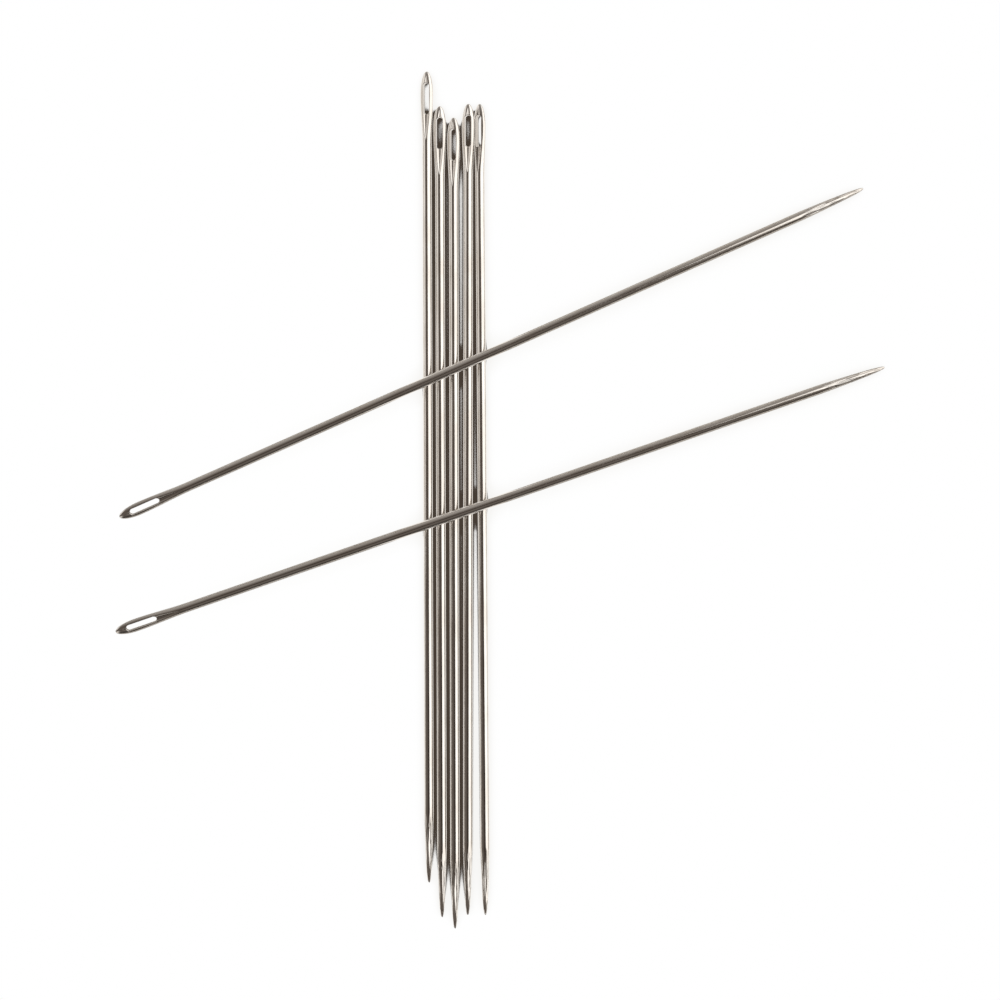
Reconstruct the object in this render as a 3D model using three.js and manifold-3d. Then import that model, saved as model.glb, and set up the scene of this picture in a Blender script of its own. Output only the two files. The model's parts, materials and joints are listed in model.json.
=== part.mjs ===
// A set of seven straight mattress needles, each formed from one length of plated steel wire.
// Five lie side by side with their eyes towards +Y, and two lie across them.
// Millimetres, +Z up, the set resting on z = 0.

import * as THREE from "three";
import { mergeVertices } from "three/addons/utils/BufferGeometryUtils.js";
import Module from "manifold-3d";

// One needle: 7 inches of 14 gauge wire.
const needleLength = 178;
const wireDiameter = 2.03;

// The eye end, measured along the needle from the tip of its rounded crown.
const crownLength = 4.8; // crown, as far as the widest place
const eyeFlare = 0.41; // widest place beyond the wire, on each edge
const stampDepth = 0.27; // stamped flat below the wire's surface, on each face
const slotStart = 2.5; // crown tip to the slot
const slotLength = 6.9;
const slotWidth = 1.35;
const gutterWidth = 1.6; // groove pressed into both faces, which leads the thread into the slot
const gutterDepth = 0.45;
const crownGutter = 1.7; // groove past the slot, towards the crown
const neckGutter = 5.8; // groove past the slot, towards the point
const roundNeck = 1.2; // round wire between the groove and the shank

// The point, ground to a bullet shape: the distance from its tip grows as a power of the radius.
const pointLength = 15;
const pointPower = 2.8;

// The row from left to right: how far each crown stands past the middle needle's crown,
// and how far the needle is rolled about its own axis, in degrees.
const crownsAhead = [10.1, 2.5, 0, 3, 3];
const rowRolls = [-15, 30, 30, -30, -30];
const eyeGaps = [0.14, 0.45, 0.67, -0.1]; // between neighbouring eyes, seen from above
const pointGaps = [0.8, 0.81, 0.74, 1.88]; // between neighbouring wires, level with the middle point
const rowSlant = 0.53; // the left needle's shift to the right, from eye to point

// The needles laid across: each rests on the right needle of the row and, where its point begins,
// on the table. Its seat is measured from the right needle's crown, its reach is the distance from
// the seat back to its own crown, and its angle is its turn from +Y, in degrees.
const upperSeat = 55.7;
const upperReach = 86.3;
const upperAngle = 113.9;
const lowerSeat = 88.2;
const lowerReach = 84.6;
const lowerAngle = 109;
const crossRoll = -15;
const seatGap = 0.3; // clearance between the needles laid across and what they rest on

// Fineness of the faceted surfaces.
const wireSides = 24;
const crownRings = 7;
const neckRings = 7;
const pointRings = 10;
const gutterSides = 12;
const gutterRings = 12;
const slotArcSteps = 6;

const wireRadius = wireDiameter / 2;
const eyeHalfWidth = wireRadius + eyeFlare;
const eyeHalfThickness = wireRadius - stampDepth;
const slotEnd = slotStart + slotLength;
const eyeLength = slotEnd + neckGutter + roundNeck;
const wireFlat = wireRadius * Math.cos(Math.PI / wireSides); // axis to the middle of a facet

const wasm = await Module();
wasm.setup();

// Closed three.js surface to a solid that can be cut.
function solidOf(geometry) {
  geometry.deleteAttribute("normal");
  geometry.deleteAttribute("uv");
  const merged = mergeVertices(geometry);
  const vertProperties = new Float32Array(merged.attributes.position.array);
  const triVerts = new Uint32Array(merged.index.array);
  return new wasm.Manifold(new wasm.Mesh({ numProp: 3, vertProperties, triVerts }));
}

// A cut solid back to a three.js surface.
function geometryOf(solid) {
  const { vertProperties, triVerts } = solid.getMesh();
  const geometry = new THREE.BufferGeometry();
  geometry.setAttribute("position", new THREE.BufferAttribute(vertProperties, 3));
  geometry.setIndex(new THREE.BufferAttribute(triVerts, 1));
  geometry.computeVertexNormals();
  return geometry;
}

// Turns a list of [radius, distance from the crown] into a body round the needle's axis, which runs
// along Y with the crown at the origin and the point at -Y. A facet, not an edge, faces +Z.
function revolve(profile, sides) {
  const points = profile.map(([radius, along]) => new THREE.Vector2(radius, -along));
  return new THREE.LatheGeometry(points, sides, Math.PI / sides);
}

// Even steps from 0 to 1, both ends included.
const steps = (count) => Array.from({ length: count + 1 }, (_, index) => index / count);

// Quarter of an ellipse over the crown, then an S-curve along the neck until the wire is round.
function eyeProfile(widest, along) {
  if (along < crownLength) return widest * Math.sqrt(1 - (1 - along / crownLength) ** 2);
  const blend = THREE.MathUtils.smoothstep(along, crownLength, eyeLength);
  return THREE.MathUtils.lerp(widest, wireRadius, blend);
}

// Blank of the eye end, turned to the width of the eye and then stamped flat in Z.
function stampedBlank() {
  const crown = steps(crownRings).map((t) => crownLength * (1 - Math.cos((t * Math.PI) / 2)));
  const neck = steps(neckRings).map((t) => THREE.MathUtils.lerp(crownLength, eyeLength, t));
  const stations = [...crown, ...neck.slice(1)];
  const profile = stations.map((along) => [eyeProfile(eyeHalfWidth, along), along]);
  const blank = revolve([[0, eyeLength], ...profile.reverse()], wireSides);
  const place = blank.attributes.position;
  for (let vertex = 0; vertex < place.count; vertex += 1) {
    const along = -place.getY(vertex);
    const width = eyeProfile(eyeHalfWidth, along);
    const flattening = width > 0 ? eyeProfile(eyeHalfThickness, along) / width : 1;
    place.setZ(vertex, place.getZ(vertex) * flattening);
  }
  return solidOf(blank);
}

// Punch for the slot: a bar with round ends, right through the flat.
function slotPunch() {
  const radius = slotWidth / 2;
  const outline = new THREE.Shape();
  outline.absarc(0, -slotStart - radius, radius, 0, Math.PI);
  outline.absarc(0, -slotEnd + radius, radius, Math.PI, 2 * Math.PI);
  outline.closePath();
  const punch = new THREE.ExtrudeGeometry(outline, {
    depth: wireDiameter,
    bevelEnabled: false,
    curveSegments: slotArcSteps,
  });
  punch.translate(0, 0, -wireDiameter / 2);
  return solidOf(punch);
}

// Die for the groove on one face (side is 1 or -1): a spindle with a parabolic outline,
// flattened to the groove's depth, whose axis follows the surface of the stamped flat.
function gutterDie(side) {
  const start = slotStart - crownGutter;
  const end = slotEnd + neckGutter;
  const profile = steps(gutterRings).map((t) => {
    const halfWidth = 2 * gutterWidth * t * (1 - t);
    return [halfWidth, THREE.MathUtils.lerp(end, start, t)];
  });
  const die = revolve(profile, gutterSides);
  const place = die.attributes.position;
  const flattening = gutterDepth / (gutterWidth / 2);
  for (let vertex = 0; vertex < place.count; vertex += 1) {
    const face = eyeProfile(eyeHalfThickness, -place.getY(vertex));
    place.setZ(vertex, place.getZ(vertex) * flattening + side * face);
  }
  return solidOf(die);
}

// Eye end of a needle: stamped flat, grooved on both faces and punched.
function eyeEnd() {
  const grooved = stampedBlank().subtract(gutterDie(1)).subtract(gutterDie(-1));
  return geometryOf(grooved.subtract(slotPunch()));
}

// Rest of the needle: round wire, ground to the point.
function shank() {
  const point = steps(pointRings).map((t) => {
    const fromTip = pointLength * t ** pointPower;
    return [wireRadius * t, needleLength - fromTip];
  });
  return revolve([...point, [wireRadius, eyeLength], [0, eyeLength]], wireSides);
}

const platedSteel = { color: 0xb8b2a9, metalness: 1, roughness: 0.18 };

// One needle, with its crown at the origin and its point towards -Y until it is turned: rolled about
// its own axis, then tilted point down, then turned from +Y, all in radians.
function needle(name, roll, tilt, turn) {
  const eye = new THREE.Mesh(eyeEnd(), new THREE.MeshStandardMaterial(platedSteel));
  eye.name = `${name}_eye`;
  const wire = new THREE.Mesh(shank(), new THREE.MeshStandardMaterial(platedSteel));
  wire.name = `${name}_shank`;
  const group = new THREE.Group();
  group.add(eye, wire);
  group.rotation.set(tilt, roll, turn, "ZXY");
  return group;
}

// Half the width of a rolled eye, seen from above.
function seenHalfWidth(roll) {
  return Math.hypot(eyeHalfWidth * Math.cos(roll), eyeHalfThickness * Math.sin(roll));
}

// Crown and turn of each needle of the row, from where it crosses the line of the middle crown and
// the line of the middle point.
function rowPlaces(rolls) {
  let atEyes = 0;
  let atPoints = rowSlant;
  return rolls.map((roll, index) => {
    if (index > 0) {
      const gap = eyeGaps[index - 1];
      atEyes += seenHalfWidth(rolls[index - 1]) + seenHalfWidth(roll) + gap;
      atPoints += wireDiameter + pointGaps[index - 1];
    }
    const turn = Math.atan2(atPoints - atEyes, needleLength);
    const ahead = new THREE.Vector3(-Math.sin(turn), Math.cos(turn), 0);
    const crown = new THREE.Vector3(atEyes, 0, wireFlat).addScaledVector(ahead, crownsAhead[index]);
    return { crown, turn };
  });
}

const set = new THREE.Group();

const rolls = rowRolls.map(THREE.MathUtils.degToRad);
const places = rowPlaces(rolls);
places.forEach(({ crown, turn }, index) => {
  const one = needle(`needle_${index + 1}`, rolls[index], 0, turn);
  one.position.copy(crown);
  set.add(one);
});

// Adds a needle laid across. Between its seat and the start of its point it comes down from the top
// of the row to the table.
function layAcross(name, seat, reach, angle) {
  const turn = THREE.MathUtils.degToRad(angle);
  const tilt = Math.asin((2 * wireFlat) / (needleLength - pointLength - reach));
  const one = needle(name, THREE.MathUtils.degToRad(crossRoll), tilt, turn);
  const right = places[places.length - 1];
  const downRow = new THREE.Vector3(Math.sin(right.turn), -Math.cos(right.turn), 0);
  const towardsCrown = new THREE.Vector3(0, 1, 0).applyEuler(new THREE.Euler(tilt, 0, turn, "ZXY"));
  one.position.copy(right.crown).addScaledVector(downRow, seat).addScaledVector(towardsCrown, reach);
  one.position.z += 2 * wireFlat + seatGap;
  set.add(one);
}
layAcross("cross_needle_upper", upperSeat, upperReach, upperAngle);
layAcross("cross_needle_lower", lowerSeat, lowerReach, lowerAngle);

// The middle of the set's footprint is the origin.
const box = new THREE.Box3().setFromObject(set, true);
const footprint = box.getCenter(new THREE.Vector3());
set.position.set(-footprint.x, -footprint.y, -box.min.z);

export default set;
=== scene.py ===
"""Seven nickel-plated mattress needles lying on a white table, seen from straight above.

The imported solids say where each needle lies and, for most of them, how far it is rolled. This
script makes their fine surface, their finish, the table, the light and the camera.
"""

import json

import bmesh
import bpy
import numpy as np
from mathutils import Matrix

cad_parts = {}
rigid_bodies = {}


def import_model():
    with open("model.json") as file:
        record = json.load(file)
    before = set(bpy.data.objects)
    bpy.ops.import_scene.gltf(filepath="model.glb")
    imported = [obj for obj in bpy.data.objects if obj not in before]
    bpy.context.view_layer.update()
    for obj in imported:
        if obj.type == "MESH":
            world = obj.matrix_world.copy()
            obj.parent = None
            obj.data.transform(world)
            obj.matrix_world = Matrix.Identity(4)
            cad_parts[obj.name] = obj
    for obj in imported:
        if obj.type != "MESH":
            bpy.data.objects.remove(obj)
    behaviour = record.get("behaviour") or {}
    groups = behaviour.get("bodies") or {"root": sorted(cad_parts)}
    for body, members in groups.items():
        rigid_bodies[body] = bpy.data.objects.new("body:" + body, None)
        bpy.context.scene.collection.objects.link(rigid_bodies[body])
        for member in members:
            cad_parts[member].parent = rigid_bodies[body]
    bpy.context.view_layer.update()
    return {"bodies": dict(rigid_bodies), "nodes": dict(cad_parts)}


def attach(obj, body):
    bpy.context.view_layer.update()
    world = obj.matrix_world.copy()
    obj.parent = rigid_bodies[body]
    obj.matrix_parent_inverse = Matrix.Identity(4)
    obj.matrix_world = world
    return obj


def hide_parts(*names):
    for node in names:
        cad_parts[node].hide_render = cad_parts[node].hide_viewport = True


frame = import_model()

MM = 0.001

# One needle, in millimetres. Distances along it start at the tip of the crown, over the eye.
WIRE_RADIUS = 1.015
CROWN_LENGTH = 4.8
EYE_HALF_WIDTH = 1.425
EYE_HALF_THICKNESS = 0.745
SLOT_START = 2.5
SLOT_END = 9.4
SLOT_RADIUS = 0.675
SLOT_LIP = 0.14
GUTTER_START = 0.8
GUTTER_END = 15.2
GUTTER_HALF_WIDTH = 0.8
GUTTER_DEPTH = 0.45
GUTTER_LIP = 0.3  # as a share of the gutter's depth
EYE_LENGTH = 16.4
NEEDLE_LENGTH = 178.0
POINT_LENGTH = 15.0
POINT_START = NEEDLE_LENGTH - POINT_LENGTH
POINT_POWER = 2.8

# Rolls of three eyes in the photograph, in degrees from level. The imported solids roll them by 30,
# 30 and -30.
EYE_ROLLS = {"needle_2": -5, "needle_3": -18, "needle_4": -10}
UP = np.array([0, 0, 1])

# Fineness of the surface: steps along each stretch, across a quarter and across the slot's wall.
CROWN_STEPS = 26
LIP_STEPS = 6
ARC_STEPS = 14
SLOT_STEPS = 20
NECK_STEPS = 44
SHANK_STEPS = 40
POINT_STEPS = 36
ACROSS_STEPS = 20
WALL_STEPS = 8
WELD = 1e-7

# The photograph looks straight down, and a needle 178 mm long takes up 811 of its 1000 pixels. The
# camera's place and the width that it sees at the needles' level are in metres.
CAMERA_X = -0.00031
CAMERA_HEIGHT = 0.7
VIEW_WIDTH = 0.2195
VIEW_LEVEL = 0.001
SENSOR_WIDTH = 36.0

# Plating: its colours where it is bright, where it is duller, and in the eye's recesses, where the
# darker colour is painted shade. Here and below, a ramp is four numbers: where a value starts and ends,
# and what it gives there.
BRIGHT_PLATE = "#d8d5d1"
DULL_PLATE = "#cdc8c2"
EYE_PAINTED_SHADE = "#8a8178"
DULL_RAMP = (0.35, 0.7, 0.0, 1.0)
EYE_SHADE_RAMP = (0.15, 1.0, 0.0, 0.85)
RECESS_ROUGHNESS = (0.15, 1.0, 0.0, 0.2)
LINE_ROUGHNESS = (0.3, 0.7, 0.07, 0.15)

# Patterns on the plating: repeats in a millimetre across, along and up, and detail. Polishing lines
# are 0.15 mm apart and 8 mm long, coarser than real ones so that they show. Duller patches are
# 2 mm wide and 7 mm long, and grinding streaks on the point 0.35 mm wide and 7 mm long. Depths are
# in millimetres.
POLISHING_LINES = ((6.5, 0.125, 6.5), 3.0)
DULL_PATCHES = ((0.5, 0.14, 0.5), 2.0)
GRINDING_STREAKS = ((2.9, 0.14, 2.9), 1.0)
LINE_STRENGTH = 0.12
LINE_DEPTH = 0.02
STREAK_RAMP = (POINT_START - 1, POINT_START + 3, 0.0, 0.9)
STREAK_DEPTH = 0.3

# Table: its colours, and its half width and level in metres.
BURNT_WHITE = "#ffffff"
FAINT_SHADE = "#f6f5f3"
GAP_SHADE = "#463d35"
MATT_WHITE = "#f4f2ee"
TABLE_HALF_WIDTH = 2.0
TABLE_LEVEL = -0.01 * MM

# Painted shade on the table: how far round a spot the needles shade it, in millimetres, and the rays
# that find out how much, which are more in the strip under the row, where the gaps are narrow. The
# strip's place is in millimetres, and its light is a painted glow that the metal mirrors there.
SHADE_REACH = 5.0
SHADE_RAYS = 8
GAP_RAYS = 128
FAINT_RAMP = (0.5, 0.95, 0.0, 1.0)
GAP_RAMP = (0.38, 0.44, 0.0, 1.0)
ROW_MIDDLE = -10.4
ROW_HALF_WIDTH = 12.0
STRIP_LIGHT = 1.25

# Soft box: its extent in metres and, for each edge of its glowing cloth, the direction into the
# cloth and where the glow begins and is full.
LAMP_WHITE = "#fffcf8"
CLOTH_LIGHT = 1.7
SOFT_BOX_X = (0.0, 2.5)
SOFT_BOX_Y = (-0.7, 2.0)
LEFT_EDGE = ((1.0, 0.0, 0.0), 0.06, 0.11)
SLANT_EDGE = ((1.0, 0.6, 0.0), 0.17, 0.23)
FRONT_EDGE = ((0.1, 1.0, 0.0), -0.29, -0.21)

# Room: the strength of each wall's light, as ramps of the direction's x (right) or y (back). The
# left wall is lower in front than behind.
RIGHT_WALL_X = (0.7, 0.95, 0.0, 1.5)
RIGHT_WALL_FRONT = (-0.26, -0.16, 0.0, 1.0)
RIGHT_WALL_BACK = (0.14, 0.34, 1.0, 0.0)
LEFT_WALL_X = (-0.95, -0.79, 0.95, 0.0)
LEFT_WALL_SHIFT = (-0.04, 0.04, -0.13, 0.13)
BACK_WALL_Y = (0.1, 1.0, 0.0, 0.32)
FRONT_WALL_Y = (-0.3, -0.12, 0.03, 0.0)
WINDOWS_Y = (-0.66, -0.5, 1.0, 0.0)
LEFT_WINDOW_X = (-0.5, -0.15, 1.1, 0.0)
RIGHT_WINDOW_X = (0.55, 0.7, 0.0, 1.1)

# Ceiling: darkest in an oval by the camera, whose offset and shape are given, and low in front.
CEILING_BROWN = "#58504a"
OVAL_OFFSET = (0.0, 0.1, 0.0)
OVAL_SHAPE = (0.4, 1.0, 0.0)
OVAL_RAMP = (0.04, 0.16, 0.35, 1.4)
LOW_FRONT_Y = (-0.95, -0.55, 0.3, 1.0)


def linear(hex_colour):
    """sRGB hex string to linear red, green, blue and alpha."""
    channels = np.array([int(hex_colour[i:i + 2], 16) for i in (1, 3, 5)]) / 255
    low, high = channels / 12.92, ((channels + 0.055) / 1.055) ** 2.4
    return (*np.where(channels <= 0.04045, low, high).tolist(), 1.0)


def smooth(low, high, value):
    """S-curve from 0 at low to 1 at high: 3 t^2 - 2 t^3."""
    t = np.clip((value - low) / (high - low), 0, 1)
    return t * t * (3 - 2 * t)


def stations():
    """Distances from the crown where the surface is cut, close together where it bends quickly:
    the crown and the slot's lips by squares, the slot's round ends by cosines, the point by the
    power that gives even steps of its radius."""
    crown = (SLOT_START - SLOT_LIP) * np.linspace(0, 1, CROWN_STEPS + 1) ** 2
    lip = SLOT_LIP * np.linspace(1, 0, LIP_STEPS + 1) ** 2
    arc = SLOT_RADIUS * (1 - np.cos(np.linspace(0, np.pi / 2, ARC_STEPS + 1)))
    slot = np.linspace(SLOT_START + SLOT_RADIUS, SLOT_END - SLOT_RADIUS, SLOT_STEPS + 1)
    neck = np.linspace(SLOT_END + SLOT_LIP, EYE_LENGTH, NECK_STEPS + 1)
    shank = np.linspace(EYE_LENGTH, POINT_START, SHANK_STEPS + 1)
    point = NEEDLE_LENGTH - POINT_LENGTH * np.linspace(1, 0, POINT_STEPS + 1) ** POINT_POWER
    eye = [crown, SLOT_START - lip, SLOT_START + arc, slot, SLOT_END - arc, SLOT_END + lip, neck]
    return np.unique(np.round(np.concatenate([*eye, shank, point]), 6))


def half_size(along, widest):
    """Half the width or thickness: a quarter ellipse over the crown, an S-curve from widest to round
    wire along the neck, then R (d / point length)^(1 / power) at a distance d from the tip."""
    crown = np.sqrt(np.clip(1 - (1 - np.clip(along / CROWN_LENGTH, 0, 1)) ** 2, 0, 1))
    neck = smooth(CROWN_LENGTH, EYE_LENGTH, along)
    point = np.clip((NEEDLE_LENGTH - along) / POINT_LENGTH, 0, 1) ** (1 / POINT_POWER)
    return (widest * (1 - neck) + WIRE_RADIUS * neck) * crown * point


def slot_half_width(along):
    """Half the slot's width: a bar with half-round ends."""
    middle = np.clip(along, SLOT_START + SLOT_RADIUS, SLOT_END - SLOT_RADIUS)
    return np.sqrt(np.clip(SLOT_RADIUS ** 2 - (along - middle) ** 2, 0, None))


def oval(along, across):
    """Height of the plain oval over the middle plane: b sqrt(1 - (x / a)^2)."""
    width = np.maximum(half_size(along, EYE_HALF_WIDTH), WELD)
    flat = np.sqrt(np.clip(1 - (across / width) ** 2, 0, 1))
    return half_size(along, EYE_HALF_THICKNESS) * flat


def face_height(along, across):
    """Height of a face over the middle plane: the oval, lowered to the parabolic groove that runs
    through the slot with its edges rounded, and rounded down into the slot by a quarter circle."""
    plain = oval(along, across)
    middle, half = (GUTTER_START + GUTTER_END) / 2, (GUTTER_END - GUTTER_START) / 2
    share = np.clip(1 - ((along - middle) / half) ** 2, WELD, 1)
    die = GUTTER_DEPTH * share * (1 - (across / (GUTTER_HALF_WIDTH * share)) ** 2)
    groove = half_size(along, EYE_HALF_THICKNESS) - die
    lip = GUTTER_LIP * GUTTER_DEPTH * share
    meeting = np.clip(lip - np.abs(plain - groove), 0, None)
    surface = np.minimum(plain, groove) - meeting ** 2 / (4 * lip)
    surface = np.where(share > WELD, surface, plain)
    nearest = np.clip(along, SLOT_START + SLOT_RADIUS, SLOT_END - SLOT_RADIUS)
    from_slot = np.clip(np.hypot(across, along - nearest) - SLOT_RADIUS, 0, SLOT_LIP)
    rounding = SLOT_LIP - np.sqrt(SLOT_LIP ** 2 - (SLOT_LIP - from_slot) ** 2)
    return surface - np.where(plain > rounding, rounding, 0)


def grid_faces(rows, columns, start):
    """Corner numbers of the quads of a grid whose first point has the number start."""
    corner = start + np.arange(rows * columns).reshape(rows, columns)
    quads = [corner[:-1, :-1], corner[1:, :-1], corner[1:, 1:], corner[:-1, 1:]]
    return np.stack(quads, -1).reshape(-1, 4)


def needle_surface():
    """Points (across, along, up) and quads of a needle: four quarter faces between the slot or the
    middle line and the outline, mirrored left and right and over and under, and the slot's walls."""
    along = stations()[:, None]
    inner = slot_half_width(along)
    spread = (1 - np.cos(np.pi * np.linspace(0, 1, ACROSS_STEPS + 1))) / 2
    across = inner + (half_size(along, EYE_HALF_WIDTH) - inner) * spread
    up = face_height(along, across)
    in_slot = (along[:, 0] >= SLOT_START - WELD) & (along[:, 0] <= SLOT_END + WELD)
    wall = up[in_slot, :1] * np.linspace(1, -1, WALL_STEPS + 1)
    points, faces, count = [], [], 0
    for side in (1, -1):
        sheets = [(side * across, along, up), (side * across, along, -up)]
        sheets.append((side * inner[in_slot], along[in_slot], wall))
        for sheet in sheets:
            grid = np.stack(np.broadcast_arrays(*sheet), -1)
            faces.append(grid_faces(*grid.shape[:2], count))
            points.append(grid.reshape(-1, 3))
            count += len(points[-1])
    return np.concatenate(points), np.concatenate(faces)


def node_points(name):
    """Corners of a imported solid, as rows of x, y, z in metres."""
    mesh = frame["nodes"][name].data
    corners = np.empty(len(mesh.vertices) * 3)
    mesh.vertices.foreach_get("co", corners)
    return corners.reshape(-1, 3)


def needle_place(name):
    """Crown and the three axes (across, along, up) of a needle, read from its two solids: the crown
    and the point are the corners furthest apart, and the eye is widest across, unless its roll from
    level is given."""
    eye, shank = node_points(f"{name}_eye"), node_points(f"{name}_shank")
    point = shank[np.argmax(np.linalg.norm(shank - eye.mean(0), axis=1))]
    crown = eye[np.argmax(np.linalg.norm(eye - point, axis=1))]
    along = (point - crown) / np.linalg.norm(point - crown)
    spread = (eye - crown) - np.outer((eye - crown) @ along, along)
    across = np.linalg.eigh(spread.T @ spread)[1][:, 2]
    if name in EYE_ROLLS:
        roll = np.radians(EYE_ROLLS[name])
        across = np.cos(roll) * np.cross(along, UP) + np.sin(roll) * UP
    return crown, np.stack([across, along, np.cross(across, along)])


def make_needle(name, finish):
    """One needle as a closed mesh in its place. Two attributes guide its finish: its own coordinates in
    millimetres, and how deep the surface lies between the plain oval, 0, and the middle plane, 1, which
    sets the painted shade and the rougher finish in the eye."""
    crown, axes = needle_place(name)
    points, faces = needle_surface()
    mesh = bpy.data.meshes.new(name)
    mesh.from_pydata(crown + points @ axes * MM, [], faces)
    work = bmesh.new()
    work.from_mesh(mesh)
    bmesh.ops.remove_doubles(work, verts=work.verts, dist=WELD)
    bmesh.ops.recalc_face_normals(work, faces=work.faces)
    work.to_mesh(mesh)
    work.free()
    placed = np.empty(len(mesh.vertices) * 3)
    mesh.vertices.foreach_get("co", placed)
    own = (placed.reshape(-1, 3) - crown) @ axes.T / MM
    across, along, up = own.T
    depth = np.clip((oval(along, across) - np.abs(up)) / EYE_HALF_THICKNESS, 0, 1)
    place = mesh.attributes.new("needle_place", "FLOAT_VECTOR", "POINT")
    place.data.foreach_set("vector", own.astype(np.float32).ravel())
    recess = mesh.attributes.new("recess", "FLOAT", "POINT")
    recess.data.foreach_set("value", depth.astype(np.float32))
    mesh.polygons.foreach_set("use_smooth", np.ones(len(mesh.polygons), bool))
    mesh.materials.append(finish)
    needle = bpy.data.objects.new(name, mesh)
    bpy.context.scene.collection.objects.link(needle)
    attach(needle, name)
    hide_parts(f"{name}_eye", f"{name}_shank")


def add(tree, kind, links=(), **settings):
    """Adds a node: settings are its properties or, by name, its input values, and links feed inputs."""
    node = tree.nodes.new(kind)
    for key, value in settings.items():
        if hasattr(node, key):
            setattr(node, key, value)
        else:
            node.inputs[key.replace("_", " ")].default_value = value
    for socket, source in dict(links).items():
        tree.links.new(source, node.inputs[socket])
    return node


def ramp(tree, value, low, high, first, last):
    """S-curve of a value, from first at low to last at high."""
    node = add(
        tree, "ShaderNodeMapRange", {"Value": value}, interpolation_type="SMOOTHSTEP",
        From_Min=low, From_Max=high, To_Min=first, To_Max=last,
    )
    return node.outputs[0]


def blend(tree, share, first, last):
    """Colour between two others, which are hex strings or sockets."""
    node = add(tree, "ShaderNodeMix", {0: share}, data_type="RGBA")
    for socket, colour in ((node.inputs[6], first), (node.inputs[7], last)):
        if isinstance(colour, str):
            socket.default_value = linear(colour)
        else:
            tree.links.new(colour, socket)
    return node.outputs[2]


def nickel_plate():
    """Nickel-plated polished steel: a bright, slightly warm mirror with fine lines along the needle
    from drawing and polishing, faint duller patches, streaks from grinding on the point, and a rougher
    finish where polishing can't reach into the eye, with painted shade darkening its recesses."""
    material = bpy.data.materials.new("nickel_plate")
    material.use_nodes = True
    tree = material.node_tree
    shader = tree.nodes["Principled BSDF"]
    shader.inputs["Metallic"].default_value = 1.0
    place = add(tree, "ShaderNodeAttribute", attribute_name="needle_place").outputs["Vector"]
    recess = add(tree, "ShaderNodeAttribute", attribute_name="recess").outputs["Fac"]
    along = add(tree, "ShaderNodeSeparateXYZ", {0: place}).outputs["Y"]

    def noise(scale, detail):
        spot = add(tree, "ShaderNodeMapping", {"Vector": place}, Scale=scale).outputs[0]
        return add(tree, "ShaderNodeTexNoise", {"Vector": spot}, Scale=1.0, Detail=detail).outputs[0]

    lines = noise(*POLISHING_LINES)
    patches = noise(*DULL_PATCHES)
    streaks = noise(*GRINDING_STREAKS)

    plate = blend(tree, ramp(tree, patches, *DULL_RAMP), BRIGHT_PLATE, DULL_PLATE)
    # The eye's recesses are darkened by painted shade.
    shaded_plate = blend(tree, ramp(tree, recess, *EYE_SHADE_RAMP), plate, EYE_PAINTED_SHADE)
    tree.links.new(shaded_plate, shader.inputs["Base Color"])
    polished = ramp(tree, lines, *LINE_ROUGHNESS)
    recess_roughness = ramp(tree, recess, *RECESS_ROUGHNESS)
    gloss = add(tree, "ShaderNodeMath", {0: polished, 1: recess_roughness})
    tree.links.new(gloss.outputs[0], shader.inputs["Roughness"])

    polish = add(
        tree, "ShaderNodeBump", {"Height": lines},
        Strength=LINE_STRENGTH, Distance=LINE_DEPTH * MM,
    )
    ground = ramp(tree, along, *STREAK_RAMP)
    bump = add(
        tree, "ShaderNodeBump",
        {"Height": streaks, "Strength": ground, "Normal": polish.outputs[0]},
        Distance=STREAK_DEPTH * MM,
    )
    tree.links.new(bump.outputs[0], shader.inputs["Normal"])
    return material


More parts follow.
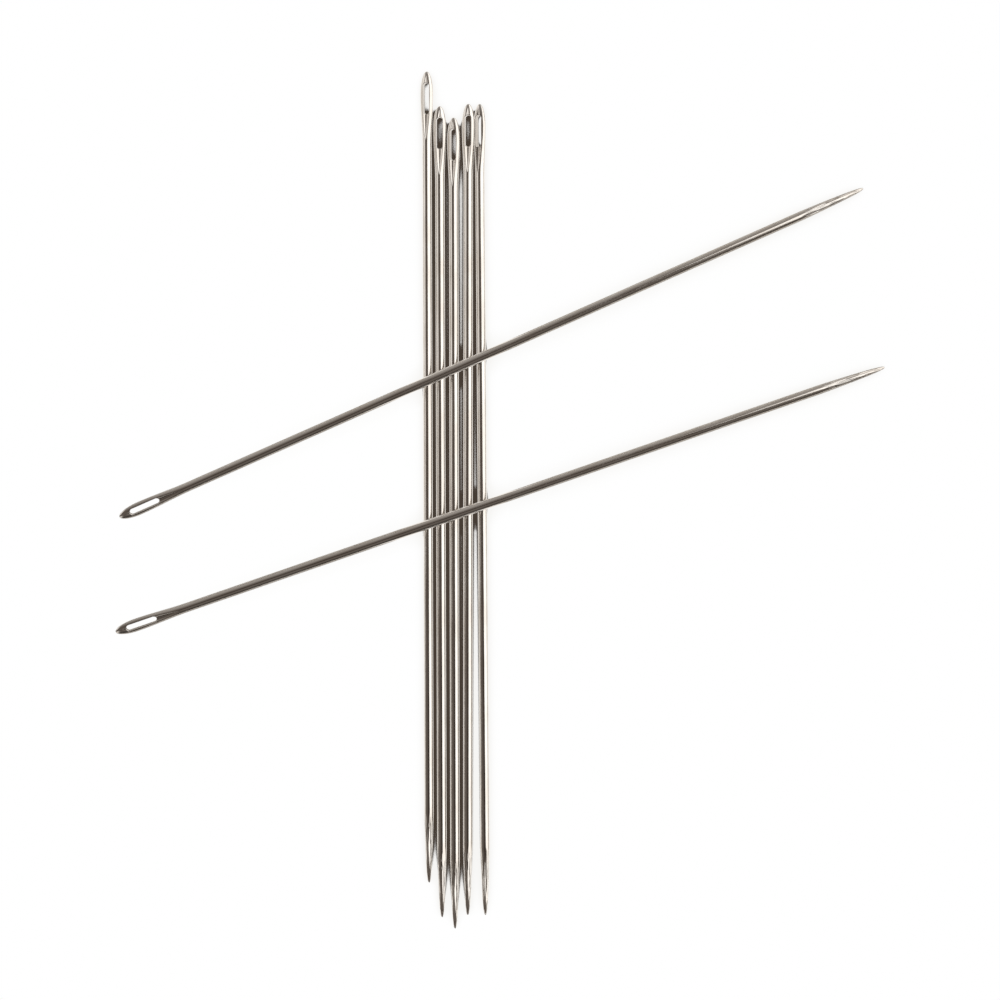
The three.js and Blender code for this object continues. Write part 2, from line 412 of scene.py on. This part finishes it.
def white_table():
    """White table top: matt, and shown to the camera burnt out to white, as in the photograph, with a
    faint painted shade round each needle. In the narrow gaps of the row the painted shade is brown. The
    metal mirrors the matt table, and in the strip of the row a painted glow, brighter than the table,
    that only the metal's reflections see."""
    material = bpy.data.materials.new("white_table")
    material.use_nodes = True
    tree = material.node_tree
    tree.nodes.clear()
    reach = SHADE_REACH * MM

    def faint(open_sky):
        return blend(tree, ramp(tree, open_sky, *FAINT_RAMP), FAINT_SHADE, BURNT_WHITE)

    def open_share(rays):
        node = add(tree, "ShaderNodeAmbientOcclusion", samples=rays, Distance=reach)
        return node.outputs["AO"]

    sky = open_share(SHADE_RAYS)
    plain = add(tree, "ShaderNodeEmission", {"Color": faint(sky)}, Strength=1.0).outputs[0]
    sky = open_share(GAP_RAYS)
    gaps = blend(tree, ramp(tree, sky, *GAP_RAMP), GAP_SHADE, faint(sky))
    strip = add(tree, "ShaderNodeEmission", {"Color": gaps}, Strength=1.0).outputs[0]
    spot = add(tree, "ShaderNodeTexCoord").outputs["Object"]
    across = add(tree, "ShaderNodeSeparateXYZ", {0: spot}).outputs["X"]
    under_row = add(tree, "ShaderNodeMath", {0: across}, operation="COMPARE")
    under_row.inputs[1].default_value = ROW_MIDDLE * MM
    under_row.inputs[2].default_value = ROW_HALF_WIDTH * MM
    burnt = add(tree, "ShaderNodeMixShader", {0: under_row.outputs[0], 1: plain, 2: strip})
    matt = add(tree, "ShaderNodeBsdfDiffuse", Color=linear(MATT_WHITE)).outputs[0]
    # Painted glow under the row, which only the metal's reflections see.
    strip_glow = add(tree, "ShaderNodeEmission", Color=linear(LAMP_WHITE), Strength=STRIP_LIGHT)
    path = add(tree, "ShaderNodeLightPath").outputs
    in_strip = add(
        tree, "ShaderNodeMath", {0: path["Is Glossy Ray"], 1: under_row.outputs[0]},
        operation="MULTIPLY",
    )
    inner = add(
        tree, "ShaderNodeMixShader",
        {0: in_strip.outputs[0], 1: matt, 2: strip_glow.outputs[0]},
    )
    both = add(
        tree, "ShaderNodeMixShader",
        {0: path["Is Camera Ray"], 1: inner.outputs[0], 2: burnt.outputs[0]},
    )
    add(tree, "ShaderNodeOutputMaterial", {"Surface": both.outputs[0]})
    return material


def make_sheet(name, x, y, z, material):
    """A level rectangle on the stage, between two values of x and of y."""
    corners = [(x[0], y[0], z), (x[1], y[0], z), (x[1], y[1], z), (x[0], y[1], z)]
    mesh = bpy.data.meshes.new(name)
    mesh.from_pydata(corners, [], [(0, 1, 2, 3)])
    mesh.materials.append(material)
    sheet = bpy.data.objects.new(name, mesh)
    bpy.context.scene.collection.objects.link(sheet)
    return sheet


def soft_box_cloth():
    """Glowing cloth of the soft box over the right of the table. Its left edge runs at a slant, so
    that the bright right side of each needle is wider in the upper half of the picture, and its front
    edge leaves the last millimetres of the row's points dark."""
    material = bpy.data.materials.new("soft_box_cloth")
    material.use_nodes = True
    tree = material.node_tree
    tree.nodes.clear()
    spot = add(tree, "ShaderNodeTexCoord").outputs["Object"]

    def edge(direction, low, high):
        across = add(tree, "ShaderNodeVectorMath", {0: spot}, operation="DOT_PRODUCT")
        across.inputs[1].default_value = direction
        return ramp(tree, across.outputs["Value"], low, high, 0.0, 1.0)

    left, slant, front = edge(*LEFT_EDGE), edge(*SLANT_EDGE), edge(*FRONT_EDGE)
    side = add(tree, "ShaderNodeMath", {0: left, 1: slant}, operation="MULTIPLY").outputs[0]
    lit = add(tree, "ShaderNodeMath", {0: side, 1: front}, operation="MULTIPLY").outputs[0]
    clear = add(tree, "ShaderNodeBsdfTransparent").outputs[0]
    glow = add(tree, "ShaderNodeEmission", Color=linear(LAMP_WHITE), Strength=CLOTH_LIGHT)
    both = add(tree, "ShaderNodeMixShader", {0: lit, 1: clear, 2: glow.outputs[0]})
    add(tree, "ShaderNodeOutputMaterial", {"Surface": both.outputs[0]})
    return material


def light_room():
    """Soft light from all round, by the direction: white walls on the right and left, a grey wall
    behind, windows in the two front corners, and a brown ceiling and front, darkest by the camera and
    low in front."""
    world = bpy.data.worlds.new("studio")
    bpy.context.scene.world = world
    world.use_nodes = True
    tree = world.node_tree
    tree.nodes.clear()
    direction = add(tree, "ShaderNodeTexCoord").outputs["Generated"]
    axes = add(tree, "ShaderNodeSeparateXYZ", {0: direction}).outputs
    x, y = axes["X"], axes["Y"]

    def total(*values):
        running = values[0]
        for value in values[1:]:
            running = add(tree, "ShaderNodeMath", {0: running, 1: value}).outputs[0]
        return running

    def product(first, second):
        return add(tree, "ShaderNodeMath", {0: first, 1: second}, operation="MULTIPLY").outputs[0]

    beside = product(ramp(tree, y, *RIGHT_WALL_FRONT), ramp(tree, y, *RIGHT_WALL_BACK))
    right = product(ramp(tree, x, *RIGHT_WALL_X), beside)
    shift = ramp(tree, y, *LEFT_WALL_SHIFT)
    from_left = add(tree, "ShaderNodeMath", {0: x, 1: shift}, operation="SUBTRACT").outputs[0]
    left = ramp(tree, from_left, *LEFT_WALL_X)
    back = ramp(tree, y, *BACK_WALL_Y)
    front = ramp(tree, y, *FRONT_WALL_Y)
    forward = ramp(tree, y, *WINDOWS_Y)
    left_window = product(forward, ramp(tree, x, *LEFT_WINDOW_X))
    right_window = product(forward, ramp(tree, x, *RIGHT_WINDOW_X))
    strength = total(right, left, back, front, left_window, right_window)
    walls = add(tree, "ShaderNodeBackground", {"Strength": strength}, Color=linear(LAMP_WHITE))
    flat = add(
        tree, "ShaderNodeMapping", {"Vector": direction}, Location=OVAL_OFFSET, Scale=OVAL_SHAPE,
    )
    from_camera = add(tree, "ShaderNodeVectorMath", {0: flat.outputs[0]}, operation="LENGTH")
    overhead = ramp(tree, from_camera.outputs["Value"], *OVAL_RAMP)
    ceiling = product(overhead, ramp(tree, y, *LOW_FRONT_Y))
    dark = add(tree, "ShaderNodeBackground", {"Strength": ceiling}, Color=linear(CEILING_BROWN))
    room = add(tree, "ShaderNodeAddShader", {0: walls.outputs[0], 1: dark.outputs[0]})
    white = add(tree, "ShaderNodeBackground", Color=linear(BURNT_WHITE), Strength=1.0)
    seen = add(tree, "ShaderNodeLightPath").outputs["Is Camera Ray"]
    both = add(tree, "ShaderNodeMixShader", {0: seen, 1: room.outputs[0], 2: white.outputs[0]})
    add(tree, "ShaderNodeOutputWorld", {"Surface": both.outputs[0]})


def make_camera():
    """Camera straight over the middle of the set, with the row's eyes at the top of the picture."""
    data = bpy.data.cameras.new("camera")
    data.sensor_width = SENSOR_WIDTH
    data.lens = SENSOR_WIDTH * (CAMERA_HEIGHT - VIEW_LEVEL) / VIEW_WIDTH
    camera = bpy.data.objects.new("camera", data)
    camera.location = (CAMERA_X, 0, CAMERA_HEIGHT)
    bpy.context.scene.collection.objects.link(camera)
    bpy.context.scene.camera = camera


bpy.context.scene.view_settings.view_transform = "Standard"
make_camera()
light_room()
table_width = (-TABLE_HALF_WIDTH, TABLE_HALF_WIDTH)
make_sheet("table", table_width, table_width, TABLE_LEVEL, white_table())
soft_box = make_sheet("soft_box", SOFT_BOX_X, SOFT_BOX_Y, CAMERA_HEIGHT, soft_box_cloth())
soft_box.visible_camera = False
plate = nickel_plate()
for body in frame["bodies"]:
    make_needle(body, plate)
